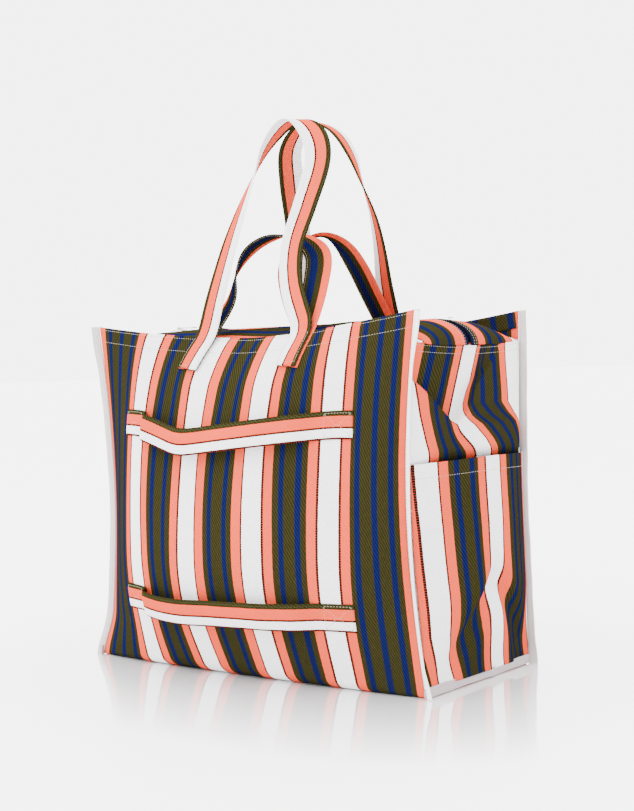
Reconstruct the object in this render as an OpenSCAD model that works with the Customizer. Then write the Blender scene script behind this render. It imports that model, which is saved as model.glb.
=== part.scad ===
// Zip-top tote bag of striped canvas, standing on its base and filled out.
// Origin: middle of the base, on the floor. X runs along the length, the front is at -Y, Z is up.

/* [Body] */
// Length over the corner bindings
bag_l = 480; // [460:5:500]
// Depth of the ends over the corner bindings
bag_d = 224; // [208:4:236]
// Height of the four corners above the floor
bag_h = 400; // [380:5:420]
// How far the rim dips between the corners
rim_dip = 21; // [12:1:24]
// How far the front and back swell past their seams
belly = 58; // [45:1:65]
// How far the vertical seams are drawn in at mid height
draw_in = 17; // [8:1:20]
// Thickness of the cloth
cloth_t = 2; // [1.5:0.1:2.2]

/* [Pockets] */
// Height of the end pockets' mouths
pocket_h = 243; // [200:1:260]
// How far a pocket swells past the seams
pocket_puff = 13; // [10:1:16]

/* [Closure] */
// Rise of the zipped top from its sewn edge to the zip
closure_rise = 26; // [20:1:32]
// Length of the part of the closure that opens
closure_l = 372; // [320:2:380]
// Distance of each flap's fold line from the zip
fold_y = 78; // [70:1:80]

/* [Straps] */
// Width of the handles and of the front straps
strap_w = 30; // [26:1:32]
// Thickness of the straps
strap_t = 2; // [1.6:0.1:2.2]
// Half distance between the two legs of a handle
handle_x = 70; // [66:1:74]
// Length of the sewn handle ends
handle_sewn = 37; // [34:1:50]
// Half length of the front straps
front_strap_x = 162; // [150:1:170]
// How far the loose part of a front strap stands off the cloth
strap_slack = 16; // [15:0.5:18]
// Length of the sewn ends of the front straps
strap_sewn = 38; // [30:1:45]

/* [Bindings] */
// Width of the binding tape that stands out at each seam
binding_w = 10; // [8:0.5:12]
// Thickness of the folded binding
binding_t = 2.6; // [2:0.1:3]

/* [Zip] */
// Width of each zip tape
tape_w = 7; // [6:0.5:8]
// Length of the slider
slider_l = 16; // [12:1:18]
// Length of the pull
pull_l = 26; // [20:1:30]

/* [Hidden] */
gap = 0.4;
diag = sqrt(0.5);
binding_gap = 1.2;
binding_reach = (binding_gap + binding_w + binding_t / 2) * diag;
seam_x = bag_l / 2 - binding_reach;
seam_y = bag_d / 2 - binding_reach;
gusset_y = seam_y - cloth_t - gap;

// Front and back panels
belly_foot = 15;
belly_mid = -0.2;
full_at = 0.36;
lean_from = 0.85;
rim_lean = 15;
foot_r = 14;
panel_cols = 24;
panel_rows = 18;
row_power = 1.6;

// Gussets
gusset_foot = 5;
gusset_top = bag_h - 38;
gusset_rise = 5;
gusset_puff = 11;
fold_depth = 25;
fold_z = 290;
fold_half = 96;
fold_edge = 22;
foot_z = 60;
above_pocket = 40;
crease_depth = 8;
crease_y = 20;
crease_z = 116;
pocket_foot = 12;

// Closure: its edge is sewn inside the hem
closure_y = seam_y - 7;
closure_edge = closure_y - 3;
closure_z = bag_h - 8 - closure_rise;
hinge_gap = 1.4;
zip_z = closure_z + closure_rise;
tape_y = 2.8;
flap_y = tape_y + tape_w + gap;
teeth_r = 1.1;
teeth_y = 1.45;

// Slider and pull, parked past the left end of the flaps
slider_x = -closure_l / 2 - 10;
slider_w = 9;
slider_t = 1.6;
slider_z = zip_z + 1.2;
bridge_z = slider_z + slider_t + 2.1;
bar_r = 0.8;
eye_r = 1.7;

// Handles: both handles of a side turn about one line just inside the rim
hinge_y = seam_y - 9.7;
hinge_z = bag_h - 12;
ribbon_steps = 44;

// How far a sewn end leans sideways for each millimetre of its length
sewn_slant = 0.17;

// How far the handles sit off the middle, at the front and at the back
front_off = 7;
back_off = -7;

// Route of each handle: x, then inward and upward from the turning line
FRONT_LONG = [
    [front_off - handle_x, 0, 0.6], [-59, 13, 46], [-51, 34.4, 110.8], [-36, 53.4, 171.8],
    [-22.4, 67.6, 214], [8, 75.9, 241], [41, 70, 226], [60, 58.1, 190.5],
    [51, 43.9, 139.7], [40, 30.8, 92], [49, 16.6, 47.6], [front_off + handle_x, 0, 0.6]
];
BACK_LONG = [
    [back_off - handle_x, 0, 0.6], [-69.8, 13, 47.9], [-52.4, 28.5, 94.6], [-43.1, 42.7, 135.1],
    [-38.8, 55.7, 180], [-28.7, 67.6, 217], [5.8, 75.9, 241], [41, 71.2, 229],
    [56.9, 60.5, 200], [62, 49.8, 166.9], [67.5, 36.8, 128.5], [66, 23.7, 89],
    [62, 11.9, 48.3], [back_off + handle_x, 0, 0.6]
];
FRONT_SHORT = [
    [-60, 2.7, -0.4], [-56.4, 30.8, 32.2], [-60.4, 49.8, 68.8], [-45.7, 60.5, 95.2],
    [-12.5, 65.2, 108.3], [24, 64.1, 104], [58, 54.6, 82.5], [70, 33.2, 45.8],
    [79, 2.7, -0.4]
];
BACK_SHORT = [
    [-72, 2.7, -0.4], [-62.3, 30.8, 37.4], [-48.3, 52.2, 75.8], [-25.4, 62.9, 102],
    [10.5, 65.2, 109.8], [37.8, 59.3, 95.6], [50.7, 47.4, 69.3], [54.2, 28.5, 38.9],
    [58, 2.7, -0.4]
];

CORAL = [0.95, 0.56, 0.47];
OLIVE = [0.30, 0.29, 0.12];
BLUE = [0.07, 0.16, 0.50];
WHITE = [0.90, 0.89, 0.88];
NAVY = [0.05, 0.09, 0.25];
METAL = [0.72, 0.72, 0.74];

// ---------------------------------------------------------------- helpers

function mix(a, b, f) = a + (b - a) * f;
function smooth(f) = f <= 0 ? 0 : f >= 1 ? 1 : f * f * (3 - 2 * f);
function unit(v) = v / norm(v);

// A grid of points moved by d.
function moved(grid, d) = [for (row = grid) [for (p = row) p + d]];

// A closed skin between two grids of points that have the same rows and columns.
module skin(outer, inner) {
    rows = len(outer);
    cols = len(outer[0]);
    far = rows * cols;
    points = [for (g = [outer, inner], row = g, p = row) p];
    sides = [
        for (i = [0 : rows - 2], j = [0 : cols - 2])
            let (a = i * cols + j, b = a + 1, c = a + cols, d = c + 1)
            each [[a, d, b], [a, c, d], [far + a, far + b, far + d], [far + a, far + d, far + c]]
    ];
    edge = concat(
        [for (j = [0 : cols - 2]) j],
        [for (i = [0 : rows - 2]) i * cols + cols - 1],
        [for (j = [cols - 1 : -1 : 1]) (rows - 1) * cols + j],
        [for (i = [rows - 1 : -1 : 1]) i * cols]
    );
    n = len(edge);
    rim = [
        for (k = [0 : n - 1])
            let (a = edge[k], b = edge[(k + 1) % n])
            each [[a, b, far + a], [b, far + b, far + a]]
    ];
    polyhedron(points, concat(sides, rim), convexity = 8);
}

// A point on a smooth curve through the points of a route, f from 0 to 1.
function along(route, f) =
    let (
        n = len(route) - 1,
        i = min(floor(f * n), n - 1),
        t = f * n - i,
        a = route[max(i - 1, 0)], b = route[i], c = route[i + 1], d = route[min(i + 2, n)]
    )
    0.5 * (2 * b + (c - a) * t + (2 * a - 5 * b + 4 * c - d) * t * t
        + (3 * b - a - 3 * c + d) * t * t * t);

// ------------------------------------------------------- shape of the body

function seam_at(t) = seam_x - draw_in * sin(180 * t);
function rim_z(u) = bag_h - rim_dip * (1 - pow(abs(u), 1.6));

function swell_across(u) =
    let (w = u > belly_mid ? (u - belly_mid) / (1 - belly_mid) : (u - belly_mid) / (1 + belly_mid))
    1 - pow(min(abs(w), 1), 2.6);
function swell_up(t) = t < full_at
    ? mix(belly_foot, belly, sin(90 * t / full_at))
    : belly * pow(max(cos(90 * (t - full_at) / (1 - full_at)), 0), 0.75);
function lean(u, t) =
    rim_lean * (1 - smooth((abs(u) - 0.2) / 0.55)) * pow(max(t - lean_from, 0) / (1 - lean_from), 1.5);

// How far the cloth curves under at height z, where it turns into the base.
function tuck(u, z) =
    let (r = mix(4, foot_r, swell_across(u)))
    z < r ? r - sqrt(r * r - pow(r - z, 2)) : 0;

// Outer face of the front at u from -1 to 1 across and v from -1, the middle of the
// base, by 0, where the base ends, to 1, the rim.
function shell(u, v) =
    let (
        t = v <= 0 ? 0 : pow(v, row_power),
        z = t * rim_z(u),
        y = -seam_y - swell_across(u) * swell_up(t) + lean(u, t) + tuck(u, z)
    )
    [u * seam_at(t), v < 0 ? mix(-gap / 2, y, v + 1) : y, z];
function shell_out(u, v) =
    let (a = shell(u, v - 0.01), b = shell(u, min(v + 0.01, 1)), d = unit([b.y - a.y, b.z - a.z]))
    [0, -d.y, d.x];
function shell_off(u, v, d) = shell(u, v) + d * shell_out(u, v);

module half_body() {
    levels = concat([-1, -0.5], [for (i = [0 : panel_rows]) i / panel_rows]);
    outer = [for (v = levels) [for (j = [0 : panel_cols]) shell(2 * j / panel_cols - 1, v)]];
    inner = [
        for (v = levels) [for (j = [0 : panel_cols]) shell_off(2 * j / panel_cols - 1, v, -cloth_t)]
    ];
    skin(outer, inner);
}

module front_panel() {
    color(OLIVE) half_body();
}

module back_panel() {
    color(OLIVE) mirror([0, 1, 0]) half_body();
}

// --------------------------------------------------------- gussets, pockets

function gusset_top_z(y) = gusset_top + gusset_rise * pow(y / gusset_y, 2);
function round_out(y) = pow(max(1 - pow(y / gusset_y, 2), 0), 0.8);

// The paper-bag fold: a flat triangle drawn in towards its lower point.
function fold_in(y, z) =
    let (
        f = (z - fold_z) / (gusset_top - fold_z),
        side = f > 0 ? max(abs(y) - fold_half * f, 0) / fold_edge : norm([y / fold_edge, f * 1.6]),
        d = f > 0 ? 1 - f : 1
    )
    fold_depth * max(d, 0) * (1 - smooth(side));
function gusset_x(y, z) =
    let (puff = mix(2, gusset_puff, smooth((z - pocket_h) / above_pocket)) * smooth(z / foot_z))
    seam_at(z / bag_h) + puff * round_out(y) - fold_in(y, z);
function gusset_at(f, t) =
    let (y = gusset_y * f, z = mix(gusset_foot, gusset_top_z(y), t))
    [gusset_x(y, z), y, z];

function pocket_at(f, t) =
    let (
        y = gusset_y * f,
        z = mix(pocket_foot, pocket_h, t),
        crease = crease_depth * (1 - smooth(norm([(y - crease_y) / 50, (z - crease_z) / 60])))
    )
    [
        seam_at(z / bag_h) + cloth_t + gap + pocket_puff * round_out(y) * mix(0.35, 1, smooth(t * 2.2))
            - crease,
        y,
        z
    ];

module right_gusset() {
    cols = 16;
    rows = 20;
    g = [for (i = [0 : rows]) [for (j = [0 : cols]) gusset_at(2 * j / cols - 1, i / rows)]];
    color(OLIVE) skin(g, moved(g, [-cloth_t, 0, 0]));
}

module left_gusset() {
    mirror([1, 0, 0]) right_gusset();
}

module right_pocket() {
    cols = 14;
    rows = 12;
    g = [for (i = [0 : rows]) [for (j = [0 : cols]) pocket_at(2 * j / cols - 1, i / rows)]];
    color(WHITE) skin(g, moved(g, [-cloth_t, 0, 0]));
}

module left_pocket() {
    mirror([1, 0, 0]) right_pocket();
}

module base_seam_tape() {
    color(WHITE)
        translate([0, 0, cloth_t + gap + 0.5])
            cube([2 * seam_x - 16, 22, 1], center = true);
}

// ----------------------------------------------------------------- bindings

// The tape at a vertical seam stands out along the diagonal of the corner.
module corner_binding() {
    rows = 16;
    g = [
        for (i = [0 : rows])
            let (z = mix(0, bag_h, i / rows), corner = [seam_at(z / bag_h), -seam_y, z])
            [for (w = [binding_gap, binding_gap + binding_w]) corner + w * diag * [1, -1, 0]]
    ];
    half = binding_t / 2 * diag * [1, 1, 0];
    skin(moved(g, -half), moved(g, half));
}

module front_right_binding() {
    color(WHITE) corner_binding();
}

module front_left_binding() {
    color(WHITE) mirror([1, 0, 0]) corner_binding();
}

module back_right_binding() {
    color(WHITE) mirror([0, 1, 0]) corner_binding();
}

module back_left_binding() {
    color(WHITE) mirror([1, 0, 0]) mirror([0, 1, 0]) corner_binding();
}

module right_bottom_binding() {
    color(WHITE)
        translate([seam_x + 2 * gap, -gusset_y, 0])
            cube([binding_t, 2 * gusset_y, binding_w + 1]);
}

module left_bottom_binding() {
    mirror([1, 0, 0]) right_bottom_binding();
}

// ------------------------------------------------------------------ closure

function closure_at(y) = closure_z + closure_rise * (1 - pow(min(abs(y) / closure_y, 1), 3.5));

// A strip of the closure between two distances from the zip, on the front half.
module closure_strip(y_out, y_in, cols) {
    half_l = closure_l / 2;
    g = [
        for (x = [-half_l, 0, half_l])
            [for (j = [0 : cols]) let (y = mix(y_out, y_in, j / cols)) [x, -y, closure_at(y)]]
    ];
    skin(moved(g, [0, 0, -cloth_t]), g);
}

// The end of the closure curves down to the gusset's top edge.
function end_at(y, f) =
    let (x0 = closure_l / 2 + 3 * gap, z1 = gusset_top_z(y) + gap, x1 = gusset_x(y, gusset_top_z(y)))
    [mix(x0, x1, sin(90 * f)), y, mix(z1, closure_at(y), cos(90 * f))];

module closure_cap(y_from, y_to, cols) {
    rows = 8;
    outer = [for (i = [0 : rows]) [for (j = [0 : cols]) end_at(mix(y_from, y_to, j / cols), i / rows)]];
    inner = [
        for (i = [0 : rows])
            [for (p = outer[i]) p - cloth_t * [sin(90 * i / rows), 0, cos(90 * i / rows)]]
    ];
    skin(inner, outer);
}

module front_closure_margin() {
    color(CORAL) closure_strip(closure_edge, fold_y + hinge_gap, 5);
}

module back_closure_margin() {
    mirror([0, 1, 0]) front_closure_margin();
}

module front_closure_flap() {
    color(OLIVE) closure_strip(fold_y - gap, flap_y, 10);
}

module back_closure_flap() {
    mirror([0, 1, 0]) front_closure_flap();
}

module front_zip_tape() {
    color(NAVY) closure_strip(flap_y - gap, tape_y, 2);
}

module back_zip_tape() {
    mirror([0, 1, 0]) front_zip_tape();
}

module front_zip_teeth() {
    color("black")
        translate([-closure_l / 2, -teeth_y, zip_z - gap])
            rotate([0, 90, 0])
                cylinder(r = teeth_r, h = closure_l, $fn = 24);
}

module back_zip_teeth() {
    mirror([0, 1, 0]) front_zip_teeth();
}

module right_closure_end() {
    color(OLIVE) {
        closure_cap(flap_y, closure_edge, 8);
        closure_cap(-closure_edge, -flap_y, 8);
    }
}

module left_closure_end() {
    mirror([1, 0, 0]) right_closure_end();
}

module right_zip_end() {
    color(NAVY) closure_cap(gap - flap_y, flap_y - gap, 2);
}

module left_zip_end() {
    mirror([1, 0, 0]) right_zip_end();
}

module zip_stops() {
    stop_x = -slider_x + slider_l / 2 + 3;
    color(METAL)
        for (side = [-1, 1])
            translate([side * stop_x, 0, zip_z + 0.8])
                cube([3, 6, 1.6], center = true);
}

// The slider straddles the teeth. A bridge on its top carries the pull.
module zip_slider() {
    color(METAL)
        translate([slider_x, 0, 0]) {
            difference() {
                translate([-slider_l / 2, -slider_w / 2, slider_z - 0.7])
                    cube([slider_l, slider_w, slider_t + 0.7]);
                translate([-slider_l, -slider_w / 2 + 0.9, slider_z - 2])
                    cube([2 * slider_l, slider_w - 1.8, 2]);
            }
            for (side = [-1, 1])
                translate([-1.2, side * 3.6 - 0.6, slider_z + slider_t])
                    cube([2.4, 1.2, 3.2]);
            translate([0, 4.2, bridge_z])
                rotate([90, 0, 0])
                    cylinder(r = bar_r, h = 8.4, $fn = 32);
        }
}

module zip_pull() {
    color(METAL)
        translate([slider_x, 0, bridge_z])
            difference() {
                union() {
                    translate([0, 2.6, 0])
                        rotate([90, 0, 0])
                            cylinder(r = eye_r, h = 5.2, $fn = 32);
                    translate([0, -2.6, -0.7])
                        cube([8, 5.2, 1.4]);
                    translate([6, -3.6, -0.7])
                        cube([pull_l - 6, 7.2, 1.4]);
                }
                translate([0, 3, 0])
                    rotate([90, 0, 0])
                        cylinder(r = bar_r + 0.08, h = 6, $fn = 32);
                translate([pull_l - 5, 0, -2])
                    cylinder(r = 1.6, h = 4, $fn = 32);
            }
}

// ------------------------------------------------------------------ handles

// A flat strap along a route. Its width turns half round from one end to the other,
// so that it lies across the top and faces outward at both ends.
module handle(route) {
    path = [
        for (i = [0 : ribbon_steps])
            let (p = along(route, i / ribbon_steps)) [p.x, p.y - hinge_y, p.z + hinge_z]
    ];
    rings = [
        for (i = [0 : ribbon_steps])
            let (
                a = path[max(i - 1, 0)], b = path[min(i + 1, ribbon_steps)], t = unit(b - a),
                turn = 180 * smooth((i / ribbon_steps - 0.15) / 0.7),
                flat = [cos(turn), -sin(turn), 0],
                square = smooth(min(i, ribbon_steps - i) / 4),
                w = unit(flat - square * (flat * t) * t) * strap_w / 2,
                n = unit(cross(t, w)) * strap_t / 2
            )
            [path[i] - w, path[i] + w, n]
    ];
    skin([for (r = rings) [r[0] - r[2], r[1] - r[2]]], [for (r = rings) [r[0] + r[2], r[1] + r[2]]]);
}

// The two sewn ends of a handle, flat on the panel below the rim.
module sewn_ends(x_left, x_right, d) {
    cols = 4;
    rows = 6;
    low = pow(1 - handle_sewn / bag_h, 1 / row_power);
    for (x = [x_left, x_right]) {
        g = [
            for (i = [0 : rows])
                [
                    for (j = [0 : cols])
                        let (
                            lean = sewn_slant * handle_sewn * (1 - i / rows),
                            u = (x - lean + (j / cols - 0.5) * strap_w) / (seam_x - 3)
                        )
                        [u, mix(low, 1, i / rows)]
                ]
        ];
        skin(
            [for (r = g) [for (q = r) shell_off(q.x, q.y, d + strap_t)]],
            [for (r = g) [for (q = r) shell_off(q.x, q.y, d)]]
        );
    }
}

module front_long_handle() {
    color(CORAL) handle(FRONT_LONG);
}

module front_long_handle_ends() {
    color(CORAL) sewn_ends(front_off - handle_x, front_off + handle_x, strap_t + 2 * gap);
}

module front_short_handle() {
    color(BLUE) handle(FRONT_SHORT);
}

module front_short_handle_ends() {
    color(BLUE) sewn_ends(front_off - handle_x, front_off + handle_x + 2, gap);
}

module back_long_handle() {
    color(CORAL) mirror([0, 1, 0]) handle(BACK_LONG);
}

module back_long_handle_ends() {
    color(CORAL)
        mirror([0, 1, 0])
            sewn_ends(back_off - handle_x, back_off + handle_x, strap_t + 2 * gap);
}

module back_short_handle() {
    color(BLUE) mirror([0, 1, 0]) handle(BACK_SHORT);
}

module back_short_handle_ends() {
    color(BLUE)
        mirror([0, 1, 0])
            sewn_ends(back_off - handle_x, back_off + handle_x, gap);
}

// ------------------------------------------------------------- front straps

// A strap across the front, sewn flat at both ends and loose between them. Its middle
// height runs from z_left by way of z_left - sag to z_right.
module front_strap(z_left, z_right, sag) {
    cols = 40;
    rows = 3;
    sewn = strap_sewn / (2 * front_strap_x);
    g = [
        for (i = [0 : rows])
            [
                for (j = [0 : cols])
                    let (
                        f = j / cols,
                        u = mix(-front_strap_x, front_strap_x, f) / (seam_x - draw_in / 2),
                        z = mix(z_left, z_right, f) - sag * pow(sin(180 * f), 2)
                            + (i / rows - 0.5) * strap_w,
                        v = pow(z / rim_z(u), 1 / row_power),
                        off = gap + strap_slack * smooth((f - sewn) / 0.08) * smooth((1 - sewn - f) / 0.12)
                    )
                    shell(u, v) - [0, off, 0]
            ]
    ];
    skin(moved(g, [0, -strap_t, 0]), g);
}

module upper_front_strap() {
    color(CORAL) front_strap(286, 283, 15);
}

module lower_front_strap() {
    color(CORAL) front_strap(84, 81, 5);
}

// ---------------------------------------------------------------- assembly

front_panel();
back_panel();
right_gusset();
left_gusset();
right_pocket();
left_pocket();
base_seam_tape();
front_right_binding();
front_left_binding();
back_right_binding();
back_left_binding();
right_bottom_binding();
left_bottom_binding();
front_closure_margin();
back_closure_margin();
front_closure_flap();
back_closure_flap();
front_zip_tape();
back_zip_tape();
front_zip_teeth();
back_zip_teeth();
right_closure_end();
left_closure_end();
right_zip_end();
left_zip_end();
zip_stops();
zip_slider();
zip_pull();
front_long_handle();
front_long_handle_ends();
front_short_handle();
front_short_handle_ends();
back_long_handle();
back_long_handle_ends();
back_short_handle();
back_short_handle_ends();
upper_front_strap();
lower_front_strap();
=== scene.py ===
import math

import bpy
import numpy as np
from mathutils import Matrix, Vector


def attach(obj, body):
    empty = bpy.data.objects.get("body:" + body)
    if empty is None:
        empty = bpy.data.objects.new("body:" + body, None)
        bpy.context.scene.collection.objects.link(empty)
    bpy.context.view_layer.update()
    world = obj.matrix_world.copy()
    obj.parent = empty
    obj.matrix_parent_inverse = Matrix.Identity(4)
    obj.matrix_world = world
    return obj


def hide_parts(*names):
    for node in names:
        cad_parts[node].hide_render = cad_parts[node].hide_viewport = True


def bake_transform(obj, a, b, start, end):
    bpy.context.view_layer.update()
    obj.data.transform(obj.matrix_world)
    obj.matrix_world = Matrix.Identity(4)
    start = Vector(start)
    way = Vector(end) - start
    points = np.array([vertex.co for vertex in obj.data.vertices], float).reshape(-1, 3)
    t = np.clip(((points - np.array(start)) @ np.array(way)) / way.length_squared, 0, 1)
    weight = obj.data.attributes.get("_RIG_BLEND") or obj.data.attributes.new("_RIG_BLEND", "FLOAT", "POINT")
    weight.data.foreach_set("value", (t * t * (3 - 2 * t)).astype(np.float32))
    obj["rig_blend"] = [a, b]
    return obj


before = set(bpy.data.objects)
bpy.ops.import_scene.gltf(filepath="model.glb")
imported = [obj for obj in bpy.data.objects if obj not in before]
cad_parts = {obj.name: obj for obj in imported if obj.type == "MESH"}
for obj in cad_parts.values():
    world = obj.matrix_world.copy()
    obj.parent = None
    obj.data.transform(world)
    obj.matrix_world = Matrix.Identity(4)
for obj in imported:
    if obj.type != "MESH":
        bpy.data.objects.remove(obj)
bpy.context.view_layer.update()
MM = 0.001

# Sizes in millimetres, as in the CAD model where it has them.
BAG_H, SEAM_X, SEAM_Y, GUSSET_Y = 400.0, 231.16, 103.16, 100.76
RIM_DIP, DRAW_IN = 21, 17
BELLY, BELLY_FOOT = 58, 15
POCKET_H, POCKET_DIP = 243, 2.5
HINGE_Y, HINGE_Z = 93.46, 388.0
STRAP_W, STRAP_T = 30.0, 1.9
FRONT_STRAP_X, FRONT_STRAP_SEWN = 162, 38

# How the cloth differs from the CAD model, which is the same on all four corners.
BACK_EASE = 0.8      # share of the draw-in that the seams at the back don't have
FOOT_SPREAD = 13     # how far the foot of the left end spreads


# ---------------------------------------------------------------- camera

AZIMUTH, TILT, ROLL = (math.radians(angle) for angle in (38.31, 1.757, 1.842))
DISTANCE, EYE_HEIGHT, ASIDE = 1.7367, 0.3516, 0.0149    # metres
LENS_MM = 65.79


def place_camera():
    az, tilt, roll = AZIMUTH, TILT, ROLL
    fwd = Vector((-math.sin(az) * math.cos(tilt), math.cos(az) * math.cos(tilt), -math.sin(tilt)))
    right = Vector((math.cos(az), math.sin(az), 0))
    up = right.cross(fwd)
    at = Vector((math.sin(az) * DISTANCE, -math.cos(az) * DISTANCE, EYE_HEIGHT)) + right * ASIDE
    r = right * math.cos(roll) - up * math.sin(roll)
    u = right * math.sin(roll) + up * math.cos(roll)
    camera = bpy.data.objects.new("camera", bpy.data.cameras.new("camera"))
    bpy.context.scene.collection.objects.link(camera)
    turn = Matrix((r, u, -fwd)).transposed().to_4x4()
    camera.matrix_world = Matrix.Translation(at) @ turn
    camera.data.lens = LENS_MM
    camera.data.sensor_width = 36
    camera.data.clip_start, camera.data.clip_end = 0.05, 60
    bpy.context.scene.camera = camera


place_camera()


# --------------------------------------------------------------- helpers

def mix(a, b, f):
    return a + (b - a) * f


def smooth(f):
    f = np.clip(f, 0, 1)
    return f * f * (3 - 2 * f)


def unit(v):
    return v / np.maximum(np.linalg.norm(v, axis=-1, keepdims=True), 1e-9)


def point(x, y, z):
    return np.stack(np.broadcast_arrays(x, y, z), -1).astype(float)


def lengths(line):
    """Distance along a line of points, from its start."""
    return np.concatenate([[0], np.cumsum(np.linalg.norm(np.diff(line, axis=0), axis=1))])


def resampled(values, run, at):
    """Points or directions known at the distances run, read at the distances at."""
    return np.stack([np.interp(at, run, values[:, k]) for k in range(3)], -1)


def cloth_uv(across, along):
    """Cloth coordinates in millimetres: across the stripes, and along them."""
    return np.stack(np.broadcast_arrays(across, along), -1)


def eased(verts):
    """Draw the seams at the back in less at mid height, and spread the left end's foot."""
    x, y, z = np.asarray(verts, float).T
    drawn = SEAM_X - seam_at(np.clip(z / BAG_H, 0, 1))
    share = BACK_EASE * np.clip(x / SEAM_X, -1, 1) * smooth((y + 20) / 120)
    spread = FOOT_SPREAD * smooth((58 - z) / 62) * smooth((-x - 110) / 120)
    return np.stack([x + drawn * share - spread, y, z], -1)


def piece(name, verts, faces, material, uv=None, flat_from=None, body="bag"):
    """A mesh in millimetres. Faces from flat_from on are flat, and body=None blends it later."""
    mesh = bpy.data.meshes.new(name)
    mesh.from_pydata((eased(verts) * MM).tolist(), [], faces)
    rounded = np.ones(len(faces), bool)
    if flat_from is not None:
        rounded[flat_from:] = False
    mesh.polygons.foreach_set("use_smooth", rounded.tolist())
    if uv is not None:
        layer = mesh.uv_layers.new(name="cloth")
        where = np.empty(len(mesh.loops), int)
        mesh.loops.foreach_get("vertex_index", where)
        layer.data.foreach_set("uv", (np.asarray(uv) * MM)[where].astype(np.float32).ravel())
    mesh.materials.append(material)
    mesh.update()
    obj = bpy.data.objects.new(name, mesh)
    bpy.context.scene.collection.objects.link(obj)
    if body:
        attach(obj, body)
    return obj


def grid_faces(rows, cols, flip):
    """Quads of two stacked grids, and of the rim that joins them."""
    i, j = np.meshgrid(np.arange(rows - 1), np.arange(cols - 1), indexing="ij")
    a = (i * cols + j).ravel()
    near = np.stack([a, a + 1, a + cols + 1, a + cols], 1)
    far = near[:, ::-1] + rows * cols
    edge = np.concatenate([
        np.arange(cols), np.arange(1, rows) * cols + cols - 1,
        (rows - 1) * cols + np.arange(cols - 2, -1, -1), np.arange(rows - 2, 0, -1) * cols,
    ])
    nxt = np.roll(edge, -1)
    rim = np.stack([nxt, edge, edge + rows * cols, nxt + rows * cols], 1)
    faces = np.concatenate([near, far, rim])
    return (faces[:, ::-1] if flip else faces).tolist(), len(near) + len(far)


def skin(name, outer, inner, uv, material, mirror=(1, 1, 1), body="bag"):
    """A closed sheet between two grids of points."""
    rows, cols = outer.shape[:2]
    faces, flat_from = grid_faces(rows, cols, np.prod(mirror) < 0)
    verts = np.concatenate([outer.reshape(-1, 3), inner.reshape(-1, 3)]) * np.array(mirror)
    uvs = np.concatenate([uv.reshape(-1, 2)] * 2)
    return piece(name, verts, faces, material, uvs, flat_from, body)


def facing(grid):
    """Unit normals of a grid, on the side that its columns and rows turn towards."""
    return unit(np.cross(np.gradient(grid, axis=1), np.gradient(grid, axis=0)))


def cloth(name, grid, uv, material, thick, mirror, body="bag"):
    """A sheet whose outer face is the grid."""
    return skin(name, grid, grid - thick * facing(grid), uv, material, mirror, body)


# ------------------------------------------------------------- materials

# Coral, white, olive, blue and the dark line beside a white stripe.
COLOURS = {
    "C": (0.500, 0.052, 0.024), "W": (0.68, 0.665, 0.67), "o": (0.0160, 0.0143, 0.0046),
    "B": (0.0035, 0.0050, 0.0340), "k": (0.0030, 0.0026, 0.0024),
}
# The weave's repeats in metres, and the way that its twill lines climb.
TWILL_PITCH, RIB_PITCH, DASH_PITCH = 0.0029, 0.00095, 0.0027
TWILL_ACROSS, TWILL_UP = 0.853, 0.522
# The share of each dash that is a gap in the dark line, and how much coral shows in it.
DASH_GAP, GAP_SHOWS = 0.2, 0.5


def fill(tree, socket, value):
    """Link a socket to another node's output, or give it a fixed value or colour."""
    if isinstance(value, bpy.types.NodeSocket):
        tree.links.new(value, socket)
    elif socket.type == "RGBA":
        socket.default_value = (*value, 1)
    else:
        socket.default_value = value


def node(tree, kind, **sockets):
    """A new shader node. Each value fills the input of that name, or else sets the property."""
    n = tree.nodes.new("ShaderNode" + kind)
    for key, value in sockets.items():
        if key in n.inputs:
            fill(tree, n.inputs[key], value)
        else:
            setattr(n, key, value)
    return n


def math_node(tree, operation, *values):
    n = node(tree, "Math", operation=operation)
    for socket, value in zip(n.inputs, values):
        fill(tree, socket, value)
    return n.outputs[0]


def map_range(tree, value, source, target, kind="LINEAR"):
    """Carry a value over from one pair of numbers to another."""
    n = node(tree, "MapRange", interpolation_type=kind, Value=value)
    for key, number in zip(("From Min", "From Max", "To Min", "To Max"), (*source, *target)):
        n.inputs[key].default_value = number
    return n.outputs[0]


def noise(tree, vector, scale, detail):
    return node(tree, "TexNoise", Vector=vector, Scale=scale, Detail=detail).outputs["Fac"]


def wave(tree, phase):
    """A sine wave from 0 to 1."""
    return math_node(tree, "MULTIPLY_ADD", math_node(tree, "SINE", phase), 0.5, 0.5)


def ramp(tree, factor, stops):
    """Colours that change at once at each stop."""
    n = node(tree, "ValToRGB", Fac=factor)
    n.color_ramp.interpolation = "CONSTANT"
    elements = n.color_ramp.elements
    elements[0].position, elements[0].color = 0.0, (*stops[0][1], 1)
    elements.remove(elements[1])
    for at, colour in stops[1:]:
        elements.new(at).color = (*colour, 1)
    return n.outputs["Color"]


def new_material(name, roughness, metallic=0.0, specular=0.0):
    material = bpy.data.materials.new(name)
    material.use_nodes = True
    tree = material.node_tree
    shader = tree.nodes["Principled BSDF"]
    shader.inputs["Roughness"].default_value = roughness
    shader.inputs["Metallic"].default_value = metallic
    shader.inputs["Specular IOR Level"].default_value = specular
    return material, tree, shader


def bump(tree, shader, height, distance):
    n = node(tree, "Bump", Height=height, Distance=distance, Strength=1.0)
    tree.links.new(n.outputs["Normal"], shader.inputs["Normal"])


def tint(tree, shader, colour, value):
    """Give the shader a colour, made lighter or darker by the value."""
    n = node(tree, "HueSaturation", Color=colour, Value=value)
    tree.links.new(n.outputs[0], shader.inputs["Base Color"])


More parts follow.
